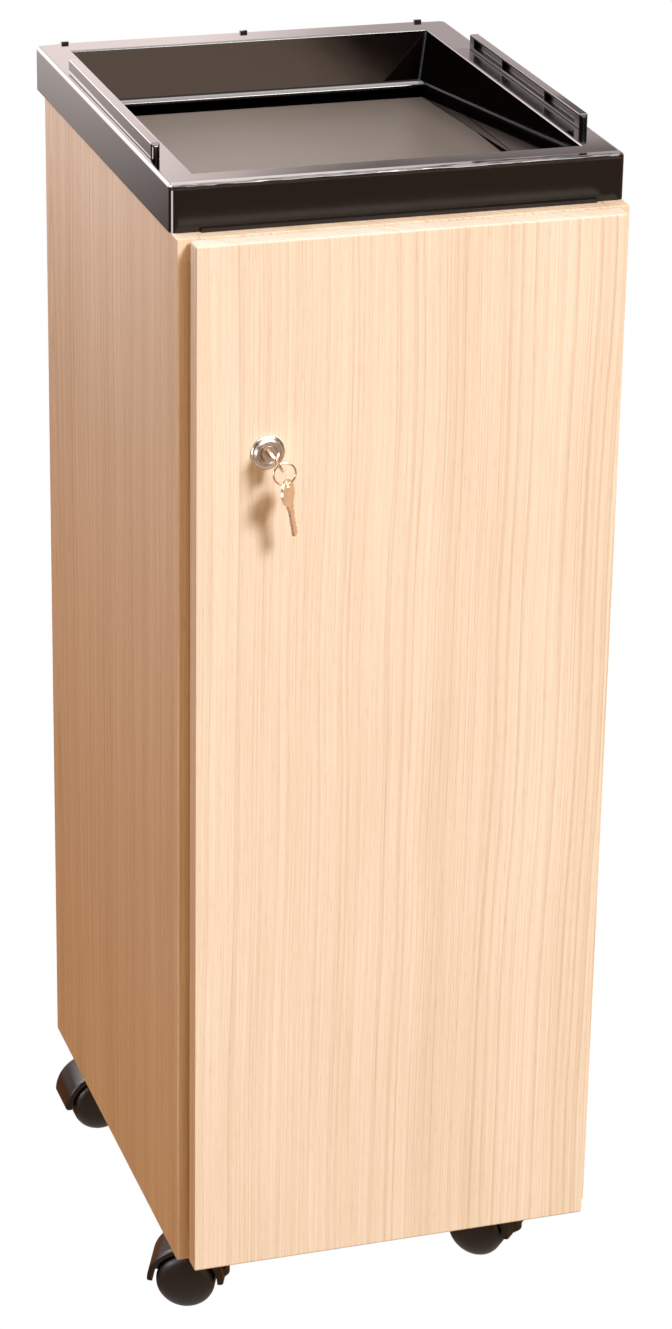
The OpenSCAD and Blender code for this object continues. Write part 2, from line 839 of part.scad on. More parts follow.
module hinge_pins() {
    color("gray") for (z = hinge_z) bar_z(pivot_x, pivot_y, z - pin_half_l, hinge_pin_d, 2 * pin_half_l);
}

module hinge_cup_screws() {
    color("silver") at_cup_screws() sunk_screw(cup_screw_d, cup_screw_l);
}

// The arm: an eye on the pin, a crank that clears the door's edge, and a body on the mounting plate
module hinge_arms() {
    color("silver") for (z = hinge_z) translate([0, 0, z - arm_half_z]) linear_extrude(2 * arm_half_z)
    difference() {
        union() {
            translate([pivot_x, pivot_y]) circle(eye_r);
            translate([elbow_x, pivot_y - arm_t / 2]) square([crank_l, arm_t]);
            translate([elbow_x, pivot_y]) circle(arm_t / 2);
            translate([elbow_x - arm_t / 2, pivot_y]) square([arm_t, arm_body_end - pivot_y]);
            translate([elbow_x - arm_t / 2, arm_body_start])
                square([hinge_plate_x - elbow_x + arm_t / 2, arm_body_end - arm_body_start]);
        }
        translate([pivot_x, pivot_y]) circle(hinge_pin_d / 2 + close_fit);
    }
}

module hinge_plates() {
    color("silver") difference() {
        for (z = hinge_z) box([hinge_plate_x, arm_body_start + 4, z - hinge_plate_half_z],
                              [inner_x, arm_body_end - 4, z + hinge_plate_half_z]);
        at_plate_screws() sunk_hole(hinge_screw_d, hinge_screw_l);
    }
}

module hinge_plate_screws() {
    color("silver") at_plate_screws() sunk_screw(hinge_screw_d, hinge_screw_l);
}

// ---- Lock ----

// Half section of the flange: radius, and height above the door's face
module flange_profile() {
    base_r = flange_d / 2;
    ring_r_top = face_ring_d / 2;
    bore_r = plug_d / 2 + close_fit;
    polygon([[bore_r, -over], [base_r - 2, -over], [base_r - 2, 0], [base_r, 0],
             [base_r, flange_base_h - 0.8], [base_r - 0.8, flange_base_h],
             [ring_r_top + 0.6, flange_base_h + 0.4], [ring_r_top, lock_flange_h - 0.8],
             [ring_r_top - 0.8, lock_flange_h], [bore_r + 1.6, lock_flange_h],
             [bore_r, lock_flange_h - 1.2]]);
}

module lock_body() {
    color("silver") difference() {
        union() {
            translate([lock_x, door_front, lock_z]) rotate([90, 0, 0]) rotate_extrude() difference() {
                flange_profile();
                translate([barrel_d / 2, -2 * over]) square([flange_d, 2 * over]);
            }
            bar_y(lock_x, door_front - over, lock_z, barrel_d, cam_front - door_front + over - loose_fit);
        }
        bar_y(lock_x, flange_face - over, lock_z, plug_d + 2 * close_fit, cam_front - flange_face + 2 * over);
    }
}

module lock_nut() {
    color("silver") translate([lock_x, door_back, lock_z]) rotate([-90, 0, 0]) difference() {
        rotate(30) cylinder(d = nut_across / cos(30), h = nut_t, $fn = 6);
        translate([0, 0, -over]) cylinder(d = barrel_d + 2 * close_fit, h = nut_t + 2 * over);
    }
}

// The plug with its keyway, and the square tail with a thread for the cam screw
module lock_plug() {
    color("lightgray") difference() {
        union() {
            bar_y(lock_x, plug_face, lock_z, plug_d, cam_front - plug_face);
            box([lock_x - plug_square / 2, cam_front - over, lock_z - plug_square / 2],
                [lock_x + plug_square / 2, plug_end, lock_z + plug_square / 2]);
        }
        translate([lock_x, 0, lock_z]) rotate([0, -keyway_tilt, 0])
            box([-key_t / 2 - loose_fit, plug_face - over, -blade_w / 2 - loose_fit],
                [key_t / 2 + loose_fit, plug_face + blade_l + over, blade_w / 2 + loose_fit]);
        bar_y(lock_x, plug_end - cam_thread_l, lock_z, cam_thread_d + 2 * close_fit, cam_thread_l + over);
    }
}

// At rest the cam points down, clear of the strike
module lock_cam() {
    tip = cam_reach - cam_w / 2;
    color("silver") translate([lock_x, cam_front + cam_t, lock_z]) rotate([90, 0, 0]) linear_extrude(cam_t)
        difference() {
            union() {
                circle(d = cam_w + 3);
                translate([-cam_w / 2, -tip]) square([cam_w, tip]);
                translate([0, -tip]) circle(d = cam_w);
            }
            square(plug_square + 2 * close_fit, center = true);
        }
}

module lock_cam_screw() {
    color("silver") {
        bar_y(lock_x, plug_end, lock_z, cam_screw_d, cam_screw_h);
        bar_y(lock_x, plug_end - cam_thread_l + loose_fit, lock_z, cam_thread_d, cam_thread_l);
    }
}

module strike_plate() {
    color("silver") difference() {
        union() {
            box([-inner_x, strike_front, lock_z - strike_half_z],
                [-inner_x + strike_t, strike_front + strike_l, lock_z + strike_half_z]);
            box([-inner_x, strike_front, lock_z - strike_half_z],
                [-inner_x + strike_reach, strike_front + strike_t, lock_z + strike_half_z]);
        }
        at_strike_screws() sunk_hole(strike_screw_d, strike_screw_l);
    }
}

module strike_screws() {
    color("silver") at_strike_screws() sunk_screw(strike_screw_d, strike_screw_l);
}

// ---- Keys ----

// A flat key with its bow's hole at the origin and its blade towards -Y
module flat_key() {
    shoulder_y = -bow_hole_at - bow_r - key_shoulder + 2;
    shoulder_x = blade_w / 2 + 1.2;
    tip = -bow_hole_at - bow_r - key_shoulder - blade_l;
    difference() {
        union() {
            translate([0, -bow_hole_at, 0]) cylinder(h = key_t, r = bow_r, center = true);
            linear_extrude(key_t, center = true)
                polygon([[-shoulder_x, shoulder_y], [-blade_w / 2, shoulder_y], [-blade_w / 2, tip + 1],
                         [-blade_w / 2 + 1, tip], [blade_w / 2 - 2, tip], [blade_w / 2, tip + 2],
                         [blade_w / 2, shoulder_y], [shoulder_x, shoulder_y],
                         [shoulder_x, -bow_hole_at - bow_r / 2], [-shoulder_x, -bow_hole_at - bow_r / 2]]);
        }
        cylinder(h = key_t + 2 * over, r = bow_hole_r, center = true);
        // Cuts along one edge of the blade
        for (n = [0:3]) translate([blade_w / 2, tip + 4 + n * 3.6, 0]) rotate(45)
            cube([1.6 + 0.5 * (n % 2), 1.6 + 0.5 * (n % 2), key_t + 2 * over], center = true);
    }
}

// The key is turned a little, so the ring leans and the ring's wire runs straight through the bow's hole
module key() {
    color("silver") translate([lock_x, hole_y, lock_z]) rotate([180, -90 - keyway_tilt, 0]) flat_key();
}

module key_ring() {
    color("silver") translate([ring_x, hole_y, ring_z]) rotate([90, 0, 0]) rotate_extrude()
        translate([ring_r, 0]) circle(d = ring_wire_d, $fn = 32);
}

module spare_key() {
    color("silver") translate([spare_x, hole_y, spare_z]) rotate([0, -90 - spare_lean, 0]) rotate([90, 0, 90])
        rotate([0, spare_turn, 0]) flat_key();
}

// ---- Castors ----

// Turns a castor's pieces about its swivel axis: they are drawn with the axle towards +X
module at_castor(n) {
    translate([castor_at[n][0], castor_at[n][1], 0]) rotate(castor_turn[n]) children();
}

// A cylinder on the axle's line, centred between the wheels
module on_axle(r, w) {
    translate([castor_trail, 0, wheel_r]) rotate([90, 0, 0]) cylinder(r = r, h = w, center = true);
}

// The same with round edges
module soft_on_axle(r, w, round_r) {
    translate([castor_trail, 0, wheel_r]) rotate([90, 0, 0]) rotate_extrude() intersection() {
        round_rect(2 * r, w, round_r);
        translate([0, -w / 2]) square([r, w]);
    }
}

module castor_plate(n) {
    color("gray") translate([castor_at[n][0], castor_at[n][1], plate_z]) difference() {
        linear_extrude(plate_t) round_rect(plate_side, plate_side, 4);
        bar_z(0, 0, -over, kingpin_d + 2 * close_fit, plate_t + 2 * over);
        bar_z(0, 0, plate_t - kingpin_head_h - close_fit,
              kingpin_head_d + 2 * close_fit, kingpin_head_h + over);
        for (x = [-1, 1], y = [-1, 1]) bar_z(x * castor_hole, y * castor_hole, -over,
                                             castor_screw_d + 2 * close_fit, plate_t + 2 * over);
    }
}

// The hood: a fender over both wheels, the web between them, and the swivel boss
module castor_hood(n) {
    color("#1c1a1a") at_castor(n) difference() {
        union() {
            intersection() {
                soft_on_axle(hood_r, hood_w, hood_round);
                box([castor_trail - hood_r, -hood_w, wheel_r],
                    [castor_trail + hood_r, hood_w, wheel_r + hood_r]);
            }
            on_axle(hub_r + 3, web_t);
            bar_z(0, 0, wheel_r, 2 * boss_r, plate_z - swivel_gap - wheel_r);
        }
        difference() {
            on_axle(wheel_room_r, hood_w + 2 * over);
            on_axle(wheel_room_r + over, web_t);
        }
        on_axle(axle_d / 2 + close_fit, hood_w);
        bar_z(0, 0, kingpin_bottom - close_fit, kingpin_d + 2 * close_fit, castor_h);
    }
}

module castor_kingpin(n) {
    color("silver") at_castor(n) {
        bar_z(0, 0, kingpin_bottom, kingpin_d, castor_h - kingpin_head_h - kingpin_bottom);
        bar_z(0, 0, castor_h - kingpin_head_h, kingpin_head_d, kingpin_head_h - close_fit);
    }
}

module castor_axle(n) {
    color("silver") at_castor(n) on_axle(axle_d / 2, axle_l);
}

// Half section of a wheel with a domed face: radius, and distance out from its inner face
module wheel_profile() {
    bore_r = axle_d / 2 + close_fit;
    tread_r = wheel_r - 6;
    polygon([[bore_r, 0], [hub_r, 0], [hub_r, wheel_face - 3], [tread_r, wheel_face - 3], [tread_r, 0],
             [wheel_r - 1, 0], [wheel_r, 1], [wheel_r, wheel_w - 7.5], [wheel_r - 0.4, wheel_w - 5.6],
             [wheel_r - 1.3, wheel_w - 3.9], [wheel_r - 2.7, wheel_w - 2.4], [wheel_r - 4.6, wheel_w - 1.2],
             [wheel_r - 7.2, wheel_w - 0.2], [wheel_r - 11, wheel_w + 0.6], [wheel_r - 16, wheel_w + 1.1],
             [0, wheel_w + 1.4], [0, wheel_face], [bore_r, wheel_face]]);
}

module castor_wheel(n, s) {
    color("#242223") at_castor(n) translate([castor_trail, s * (web_t / 2 + web_gap), wheel_r])
        rotate([-90 * s, 0, 0]) rotate_extrude() wheel_profile();
}

module castor_screws() {
    color("silver") at_castor_screws() {
        cylinder(d = castor_screw_d, h = castor_screw_l);
        translate([0, 0, -castor_head_h]) cylinder(d = castor_head_d, h = castor_head_h);
    }
}

left_side_panel();
right_side_panel();
bottom_panel();
back_panel();
top_rail();
connector_cams();
connector_bolts();
board_dowels();
back_screws();
tray_cap();
tray_floor();
left_rail();
right_rail();
tray_blocks();
tray_block_screws();
collection_bin();
door();
door_bumpers();
hinge_cups();
hinge_pins();
hinge_cup_screws();
hinge_arms();
hinge_plates();
hinge_plate_screws();
lock_body();
lock_nut();
lock_plug();
lock_cam();
lock_cam_screw();
key();
key_ring();
spare_key();
strike_plate();
strike_screws();
castor_screws();
for (n = [0:3]) {
    castor_plate(n);
    castor_hood(n);
    castor_kingpin(n);
    castor_axle(n);
    castor_wheel(n, -1);
    castor_wheel(n, 1);
}
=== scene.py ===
"""The shredding console's looks: finishes, rounded edges, light and camera, around its framed pieces."""

import json
import math

import bmesh
import bpy
from mathutils import Matrix, Vector


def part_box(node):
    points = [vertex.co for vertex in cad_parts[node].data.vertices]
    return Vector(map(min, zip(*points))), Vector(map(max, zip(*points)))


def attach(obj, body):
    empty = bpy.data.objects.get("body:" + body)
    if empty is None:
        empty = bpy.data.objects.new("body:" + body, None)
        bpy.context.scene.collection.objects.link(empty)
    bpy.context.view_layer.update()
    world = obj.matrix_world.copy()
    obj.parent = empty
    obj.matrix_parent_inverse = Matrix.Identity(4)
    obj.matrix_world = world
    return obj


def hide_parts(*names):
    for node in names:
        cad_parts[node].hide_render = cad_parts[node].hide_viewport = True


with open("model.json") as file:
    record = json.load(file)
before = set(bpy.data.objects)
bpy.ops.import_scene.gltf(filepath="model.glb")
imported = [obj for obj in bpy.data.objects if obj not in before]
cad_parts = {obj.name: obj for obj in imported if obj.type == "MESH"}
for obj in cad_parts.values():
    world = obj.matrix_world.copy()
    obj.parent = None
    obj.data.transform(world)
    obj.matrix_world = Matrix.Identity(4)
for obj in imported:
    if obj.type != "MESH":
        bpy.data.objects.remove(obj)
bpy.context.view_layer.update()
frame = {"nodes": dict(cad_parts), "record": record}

# Lengths are in metres, as in the frame. MM turns millimetres into metres.
MM = 0.001
X, Y, Z = 0, 1, 2


# ---- Shader graphs ----


class Graph:
    """Adds and links shader nodes.

    A socket is given another node's output, a number or a tuple, or None to leave it.
    """

    def __init__(self, tree):
        self.tree = tree

    def add(self, kind, inputs=None, out=0, **settings):
        node = self.tree.nodes.new("ShaderNode" + kind)
        for name, value in settings.items():
            setattr(node, name, value)
        for name, value in (inputs or {}).items():
            self.put(node.inputs[name], value)
        return node.outputs[out]

    def put(self, socket, value):
        if isinstance(value, bpy.types.NodeSocket):
            self.tree.links.new(value, socket)
        elif value is not None:
            socket.default_value = value

    def math(self, operation, a, b=None, c=None, clamp=False):
        return self.add("Math", {0: a, 1: b, 2: c}, operation=operation, use_clamp=clamp)

    def scaled(self, vector, xyz):
        """A vector with each part multiplied by its own factor."""
        return self.add("VectorMath", {0: vector, 1: xyz}, operation="MULTIPLY")

    def noise(self, position, scale, detail=2.0, rough=0.5, dims="3D"):
        where = "W" if dims == "1D" else "Vector"
        sockets = {where: position, "Scale": scale, "Detail": detail, "Roughness": rough}
        return self.add("TexNoise", sockets, noise_dimensions=dims)

    def place(self):
        """The position on the piece, in its own coordinates."""
        return self.add("TexCoord", out="Object")

    def split(self, vector):
        """The X, Y and Z of a vector."""
        return self.add("SeparateXYZ", {0: vector}).node.outputs

    def remap(self, value, low, high, to_low=0.0, to_high=1.0, smooth=False):
        kind = "SMOOTHSTEP" if smooth else "LINEAR"
        sockets = {"Value": value, "From Min": low, "From Max": high, "To Min": to_low, "To Max": to_high}
        return self.add("MapRange", sockets, interpolation_type=kind)

    def fade(self, value, low, high):
        """1 up to the low value, falling smoothly to 0 at the high one."""
        return self.remap(value, low, high, 1.0, 0.0, smooth=True)

    def times(self, *factors):
        product = factors[0]
        for factor in factors[1:]:
            product = self.math("MULTIPLY", product, factor)
        return product

    def bump(self, strength, distance, height, normal=None):
        sockets = {"Strength": strength, "Distance": distance, "Height": height, "Normal": normal}
        return self.add("Bump", sockets)

    def mix(self, factor, a, b, blend="MIX"):
        """Colour a at a factor of 0, and colour b at 1. The node's sockets 6 and 7 are for colours."""
        return self.add("Mix", {0: factor, 6: a, 7: b}, out=2, data_type="RGBA", blend_type=blend)


def rgb(red, green, blue):
    return (red, green, blue, 1.0)


def group(name, inputs, outputs):
    """A new shader group: returns its Graph, its inputs by name, and a function that sets an output."""
    tree = bpy.data.node_groups.new(name, "ShaderNodeTree")
    kinds = {"float": "NodeSocketFloat", "colour": "NodeSocketColor", "vector": "NodeSocketVector"}
    for label, kind, value in inputs:
        socket = tree.interface.new_socket(name=label, in_out="INPUT", socket_type=kinds[kind])
        socket.default_value = value
    for label, kind in outputs:
        tree.interface.new_socket(name=label, in_out="OUTPUT", socket_type=kinds[kind])
    start = tree.nodes.new("NodeGroupInput")
    end = tree.nodes.new("NodeGroupOutput")
    graph = Graph(tree)
    return graph, start.outputs, lambda label, value: graph.put(end.inputs[label], value)


def use(graph, name, **values):
    """Places a group in a material and returns its outputs. A keyword's underscores stand for spaces."""
    node = graph.tree.nodes.new("ShaderNodeGroup")
    node.node_tree = bpy.data.node_groups[name]
    for label, value in values.items():
        graph.put(node.inputs[label.replace("_", " ")], value)
    return node.outputs


def make_board_grain():
    """Light oak foil: nearly straight growth lines, fibres, and pores. The grain runs along Z.

    The growth lines are rings about the log's heart, which the face passes at a slowly changing depth.
    """
    g, given, give = group(
        "Board grain",
        [("Light", "colour", rgb(0.9, 0.7, 0.5)), ("Dark", "colour", rgb(0.7, 0.5, 0.3)),
         ("Heart", "float", 0.0), ("Contrast", "float", 1.0)],
        [("Colour", "colour"), ("Roughness", "float"), ("Normal", "vector")])
    place = g.place()
    parts = g.split(place)
    across = g.math("ADD", parts[X], parts[Y])
    wander = g.remap(g.noise(g.scaled(place, (3.0, 3.0, 1.6)), 1.0, 2.0), 0.0, 1.0, -16 * MM, 16 * MM)
    sideways = g.math("ADD", g.math("SUBTRACT", across, given["Heart"]), wander)
    depth = g.math("MULTIPLY_ADD", parts[Z], 0.030, -4 * MM)
    ring = g.math("SQRT", g.math("ADD", g.math("POWER", sideways, 2.0), g.math("POWER", depth, 2.0)))
    lines = g.noise(ring, 210.0, 3.0, 0.7, dims="1D")
    close = g.noise(ring, 620.0, 2.0, 0.6, dims="1D")
    wide = g.noise(ring, 26.0, 1.0, 0.5, dims="1D")
    fibres = g.noise(g.scaled(place, (520.0, 520.0, 5.0)), 1.0, 3.0, 0.6)
    flecks = g.noise(g.scaled(place, (950.0, 950.0, 60.0)), 1.0, 2.0, 0.6)
    clouds = g.noise(g.scaled(place, (14.0, 14.0, 3.5)), 1.0, 2.0)
    faint_at_left = g.remap(across, -0.30, -0.12, 0.55, 1.0, smooth=True)
    tone = g.times(g.remap(lines, 0.46, 0.72, smooth=True), 0.50, faint_at_left)
    for pattern, low, high, amount, smooth in [
        (close, 0.44, 0.70, 0.20, True),
        (wide, 0.3, 0.7, 0.22, False),
        (fibres, 0.38, 0.70, 0.32, False),
        (flecks, 0.52, 0.74, 0.28, False),
    ]:
        tone = g.math("ADD", tone, g.times(g.remap(pattern, low, high, smooth=smooth), amount))
    tone = g.math("ADD", tone, g.remap(clouds, 0.3, 0.7, -0.10, 0.04))
    tone = g.math("MULTIPLY", tone, given["Contrast"], clamp=True)
    give("Colour", g.mix(tone, given["Light"], given["Dark"]))
    give("Roughness", g.remap(fibres, 0.3, 0.7, 0.42, 0.50))
    give("Normal", g.bump(0.10, 0.2 * MM, fibres))


def make_moulded():
    """Moulded plastic: a fine grain, slow waves that bend the reflections, and specks of dust."""
    g, given, give = group(
        "Moulded plastic",
        [("Grain size", "float", 900.0), ("Grain", "float", 0.1), ("Waves", "float", 0.1),
         ("Gloss", "float", 0.3)],
        [("Normal", "vector"), ("Roughness", "float"), ("Dust", "float")])
    place = g.place()
    grain = g.noise(place, given["Grain size"], 2.0, 0.5)
    waves = g.noise(g.scaled(place, (1.0, 1.0, 1.6)), 26.0, 1.0, 0.4)
    slow = g.bump(given["Waves"], 4 * MM, waves)
    give("Normal", g.bump(given["Grain"], 0.2 * MM, grain, slow))
    smears = g.noise(g.scaled(place, (18.0, 18.0, 30.0)), 1.0, 4.0, 0.6)
    give("Roughness", g.math("ADD", given["Gloss"], g.remap(smears, 0.35, 0.7, -0.01, 0.015)))
    specks = g.noise(place, 2300.0, 1.0, 0.5)
    give("Dust", g.times(g.remap(specks, 0.70, 0.78), g.remap(smears, 0.4, 0.65, 0.0, 0.5)))


def make_worked_metal():
    """Plated or brushed metal: fine scratches, smudges, and small differences of tone."""
    g, given, give = group(
        "Worked metal",
        [("Scratch", "float", 0.1), ("Gloss", "float", 0.2), ("Across", "vector", (1.0, 1.0, 1.0))],
        [("Normal", "vector"), ("Roughness", "float"), ("Tone", "float")])
    place = g.place()
    scratches = g.noise(g.scaled(place, given["Across"]), 1400.0, 3.0, 0.6)
    give("Normal", g.bump(given["Scratch"], 0.1 * MM, scratches))
    smudges = g.noise(place, 90.0, 3.0, 0.6)
    give("Roughness", g.math("ADD", given["Gloss"], g.remap(smudges, 0.35, 0.7, -0.03, 0.10)))
    give("Tone", g.remap(g.noise(place, 260.0, 2.0), 0.3, 0.7, 0.86, 1.0))


make_board_grain()
make_moulded()
make_worked_metal()


# ---- Materials ----


def material(name):
    """A material with a Principled surface: returns the material, its Graph, and the surface's inputs."""
    made = bpy.data.materials.new(name)
    made.use_nodes = True
    surface = made.node_tree.nodes["Principled BSDF"]
    return made, Graph(made.node_tree), surface.inputs


PLASTIC_IOR, FOIL_IOR = 1.5, 1.45


def board(name, light, dark, heart, contrast):
    """Foil-faced board. heart is how far to the right the log's heart lies, in metres."""
    made, g, surface = material(name)
    grain = use(g, "Board grain", Light=light, Dark=dark, Heart=heart, Contrast=contrast)
    g.put(surface["Base Color"], grain["Colour"])
    g.put(surface["Roughness"], grain["Roughness"])
    g.put(surface["Normal"], grain["Normal"])
    surface["IOR"].default_value = FOIL_IOR
    surface["Specular IOR Level"].default_value = 0.12
    return made


def plastic(name, colour, gloss, grain_size, grain, waves,
            dust=rgb(0.35, 0.32, 0.30), specular=0.5, right=None):
    """A moulded piece. right is the colour that it turns to at its right end: painted shade, darker towards
    the right wall that shades the floor.
    """
    made, g, surface = material(name)
    # Painted shade: the colour darkens to the right colour towards the piece's right end.
    if right:
        across = g.split(g.place())[X]
        colour = g.mix(g.remap(across, -70 * MM, 140 * MM, smooth=True), colour, right)
    mould = use(g, "Moulded plastic", Grain_size=grain_size, Grain=grain, Waves=waves, Gloss=gloss)
    g.put(surface["Base Color"], g.mix(mould["Dust"], colour, dust))
    g.put(surface["Roughness"], mould["Roughness"])
    g.put(surface["Normal"], mould["Normal"])
    surface["IOR"].default_value = PLASTIC_IOR
    surface["Specular IOR Level"].default_value = specular
    return made


def metal(name, colour, gloss, scratch, across=(1.0, 1.0, 1.0)):
    """Bare metal. across stretches the scratches: a small factor makes them long that way."""
    made, g, surface = material(name)
    work = use(g, "Worked metal", Scratch=scratch, Gloss=gloss, Across=across)
    g.put(surface["Base Color"], g.mix(1.0, colour, work["Tone"], "MULTIPLY"))
    g.put(surface["Roughness"], work["Roughness"])
    g.put(surface["Normal"], work["Normal"])
    surface["Metallic"].default_value = 1.0
    return made


def dowel_wood():
    """Beech, with its grain along X, as the dowels lie."""
    made, g, surface = material("Beech dowel")
    lines = g.noise(g.scaled(g.place(), (60.0, 900.0, 900.0)), 1.0, 3.0)
    colour = g.mix(g.remap(lines, 0.3, 0.7), rgb(0.62, 0.42, 0.24), rgb(0.45, 0.27, 0.13))
    g.put(surface["Base Color"], colour)
    surface["Roughness"].default_value = 0.6
    return made


# Places on the tray. Its box reaches to the bead at the skirt's foot and to the top of the nibs.
TRAY_LOW, TRAY_HIGH = [Vector(corner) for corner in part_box("tray_cap")]
RAIL_LOW, RAIL_HIGH = [Vector(corner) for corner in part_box("right_rail")]
NIB, BEAD = 2 * MM, 3 * MM
RIM_Z = TRAY_HIGH.z - NIB
TRAY_FRONT, TRAY_BACK, TRAY_SIDE = TRAY_LOW.y + BEAD, TRAY_HIGH.y, TRAY_HIGH.x
LIP_TOP, LIP_THICK, LIP_ROOT = RIM_Z - 40 * MM, 4.6 * MM, TRAY_BACK - 43 * MM
SLOT_FRONT = TRAY_BACK - 56 * MM
RAIL_X, RAIL_Y = (RAIL_LOW.x + RAIL_HIGH.x) / 2, (RAIL_LOW.y + RAIL_HIGH.y) / 2
RAIL_HALF, STRIP_HALF = (RAIL_HIGH.y - RAIL_LOW.y) / 2, 16.5 * MM
RIM_ROUND, RECESS_ROUND = 3.2, 1.4
LEVEL = 0.3 * MM


# A mask takes the X, Y and Z of a place on the tray or a rail. It is 1 on its own area and 0 elsewhere.


def front_edge(g, x, y, z):
    """The rim's upper front edge, where the moulding is uneven."""
    return g.times(g.fade(y, TRAY_FRONT + 1 * MM, TRAY_FRONT + 9 * MM),
                   g.remap(z, RIM_Z - 4 * MM, RIM_Z - 1 * MM, smooth=True))


def lip_face(g, x, y, z):
    """The flat top of the lip, as far back as the recess's back wall."""
    return g.times(g.math("COMPARE", z, LIP_TOP, LEVEL),
                   g.fade(y, LIP_ROOT - 1.5 * MM, LIP_ROOT + 1.5 * MM))


def slot_shade(g, x, y, z):
    """The walls below the lip, where shade is painted: they are made nearly black and lose their shine."""
    foot = LIP_TOP - LIP_THICK
    return g.times(g.remap(z, foot, foot - 1 * MM, smooth=True), g.math("GREATER_THAN", y, SLOT_FRONT))


def rail_sides(g, x, y, z):
    """The upright faces of the right rail."""
    above_rim = g.remap(z, RIM_Z + 0.4 * MM, RIM_Z + 1.0 * MM)
    below_top = g.remap(z, RAIL_HIGH.z - 1.1 * MM, RAIL_HIGH.z - 0.3 * MM, 1.0, 0.0)
    return g.times(above_rim, below_top, g.math("GREATER_THAN", x, 0.0))


def skirt_front(g, x, y, z):
    """The skirt's front face, below the rounding of the rim."""
    return g.times(g.remap(y, TRAY_FRONT + 0.4 * MM, TRAY_FRONT + 1.2 * MM, 1.0, 0.0),
                   g.math("LESS_THAN", z, RIM_Z - (RIM_ROUND + 0.2) * MM))


def beside_rail(g, x, y, z):
    """The rim's top beside the right rail, rubbed dull by paper."""
    return g.times(g.math("COMPARE", z, RIM_Z, LEVEL), g.math("COMPARE", x, RAIL_X, STRIP_HALF),
                   g.math("COMPARE", y, RAIL_Y, RAIL_HALF))


def tray_plastic():
    """Glossy black moulding: uneven along the rim's front edge, sloping on the lip, and with painted shade
    in the slot below the lip.
    """
    made, g, surface = material("Tray plastic")
    mould = use(g, "Moulded plastic", Grain_size=1300.0, Grain=0.02, Waves=0.006, Gloss=0.035)
    place = g.place()
    x, y, z = g.split(place)
    uneven = g.noise(g.scaled(place, (20.0, 260.0, 40.0)), 1.0, 2.0, 0.5)
    sunken = g.bump(1.0, 3.4 * MM, g.times(uneven, front_edge(g, x, y, z)), mould["Normal"])
    g.put(surface["Normal"], g.bump(lip_face(g, x, y, z), 1.0, g.times(y, 0.5), sunken))
    slot = slot_shade(g, x, y, z)
    rail = rail_sides(g, x, y, z)
    colour = g.mix(mould["Dust"], rgb(0.0026, 0.0015, 0.0012), rgb(0.06, 0.05, 0.045))
    # Painted shade: the walls below the lip turn nearly black.
    g.put(surface["Base Color"], g.mix(slot, colour, rgb(0.0008, 0.0006, 0.0005)))
    roughness = mould["Roughness"]
    for mask, duller in [(rail, 0.32), (skirt_front(g, x, y, z), 0.14), (beside_rail(g, x, y, z), 0.17)]:
        roughness = g.math("MULTIPLY_ADD", mask, duller, roughness)
    g.put(surface["Roughness"], roughness)
    # Painted shade: the walls below the lip lose their shine; the rail's sides shine less.
    shine = g.math("SUBTRACT", g.remap(slot, 0.0, 1.0, 0.5, 0.0), g.times(rail, 0.3))
    g.put(surface["Specular IOR Level"], shine)
    surface["IOR"].default_value = PLASTIC_IOR
    return made


LOOKS = {
    "door_board": board(
        "Oak door", rgb(0.935, 0.81, 0.68), rgb(0.715, 0.535, 0.385), heart=0.115, contrast=1.0),
    # The cabinet's copy of the oak is warmer and more saturated than the door's: painted shade for the side
    # panels, which the key light does not reach.
    "cabinet_board": board(
        "Oak cabinet", rgb(0.945, 0.785, 0.615), rgb(0.70, 0.505, 0.345), heart=0.02, contrast=1.3),
    "dowel_wood": dowel_wood(),
    "tray_plastic": tray_plastic(),
    # The tray floor's right colour is painted shade from the tray's right wall.
    "tray_floor_plastic": plastic(
        "Tray floor", rgb(0.155, 0.127, 0.105), gloss=0.42, grain_size=2200.0, grain=0.16, waves=0.01,
        dust=rgb(0.3, 0.26, 0.23), specular=0.06, right=rgb(0.095, 0.077, 0.062)),
    "bin_plastic": plastic(
        "Bin plastic", rgb(0.060, 0.064, 0.070), gloss=0.45, grain_size=1500.0, grain=0.25, waves=0.06),
    "bumper_rubber": plastic(
        "Bumper rubber", rgb(0.62, 0.62, 0.60), gloss=0.35, grain_size=2600.0, grain=0.10, waves=0.0),
    "castor_plastic": plastic(
        "Castor hood", rgb(0.010, 0.007, 0.006), gloss=0.30, grain_size=1200.0, grain=0.06, waves=0.03),
    "wheel_plastic": plastic(
        "Castor wheel", rgb(0.012, 0.009, 0.008), gloss=0.40, grain_size=1600.0, grain=0.12, waves=0.03),
    "zinc_steel": metal("Zinc steel", rgb(0.62, 0.62, 0.63), gloss=0.30, scratch=0.08),
    "lock_chrome": metal("Lock chrome", rgb(0.60, 0.56, 0.52), gloss=0.27, scratch=0.03),
    "key_metal": metal("Key metal", rgb(0.84, 0.64, 0.48), gloss=0.25, scratch=0.08, across=(1.0, 0.2, 1.0)),
}


# ---- Pieces ----

SLOTS = {part["node"]: part["material_slot"] for part in frame["record"]["subparts"]}
BODIES = {node: body for body, nodes in frame["record"]["behaviour"]["bodies"].items() for node in nodes}

for node, piece in frame["nodes"].items():
    piece.data.materials.clear()
    piece.data.materials.append(LOOKS[SLOTS[node]])


SAME_POINT, FLAT, SHARP = 0.0005 * MM, math.radians(0.6), math.radians(30.0)


